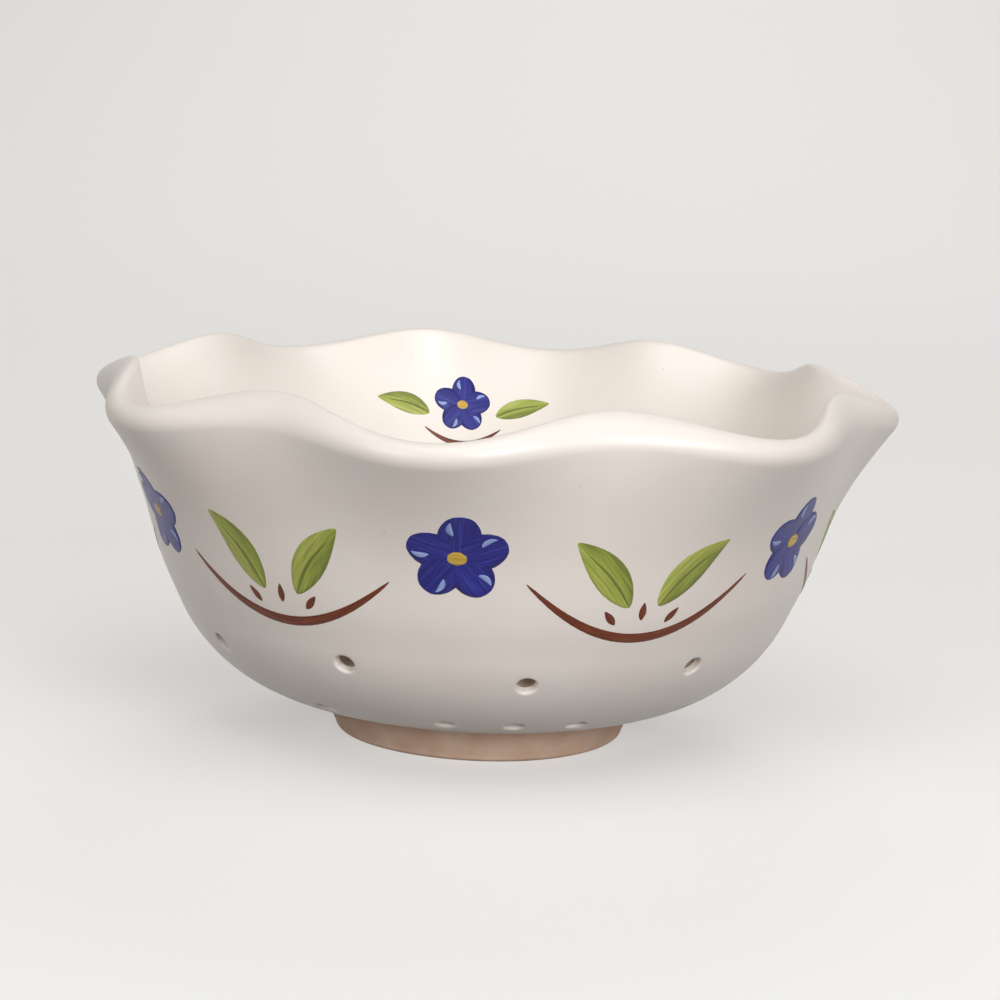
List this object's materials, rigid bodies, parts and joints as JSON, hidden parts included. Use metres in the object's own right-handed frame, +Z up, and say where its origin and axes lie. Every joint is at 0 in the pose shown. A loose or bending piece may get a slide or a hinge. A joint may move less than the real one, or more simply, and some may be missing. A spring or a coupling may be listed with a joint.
{
  "type": "berry colander bowl",
  "caption": "Round stoneware colander bowl with a ruffled rolled lip, rows of drain holes low in the wall, a bare clay foot ring and a painted garland.",
  "frame": {"origin": "centre of the plane that the foot ring stands on, on the bowl's turning axis", "axes": "+Z up along the turning axis, -Y towards the side that the picture shows"},
  "size_m": [0.2036, 0.2035, 0.0944],
  "materials": {
    "ivory_glaze": "glossy warm white glaze",
    "bare_stoneware": "bare fired clay, matt",
    "cobalt_underglaze": "brushed colour under clear glaze",
    "green_underglaze": "brushed colour under clear glaze",
    "brown_underglaze": "brushed colour under clear glaze"
  },
  "bodies": {
    "root": {"bowl_wall": "ivory_glaze", "foot_ring": "bare_stoneware", "vine_stems": "brown_underglaze", "blossoms": "cobalt_underglaze", "leaves": "green_underglaze", "inside_blossom": "cobalt_underglaze", "inside_leaves": "green_underglaze", "inside_stem": "brown_underglaze"}
  },
  "joints": []
}
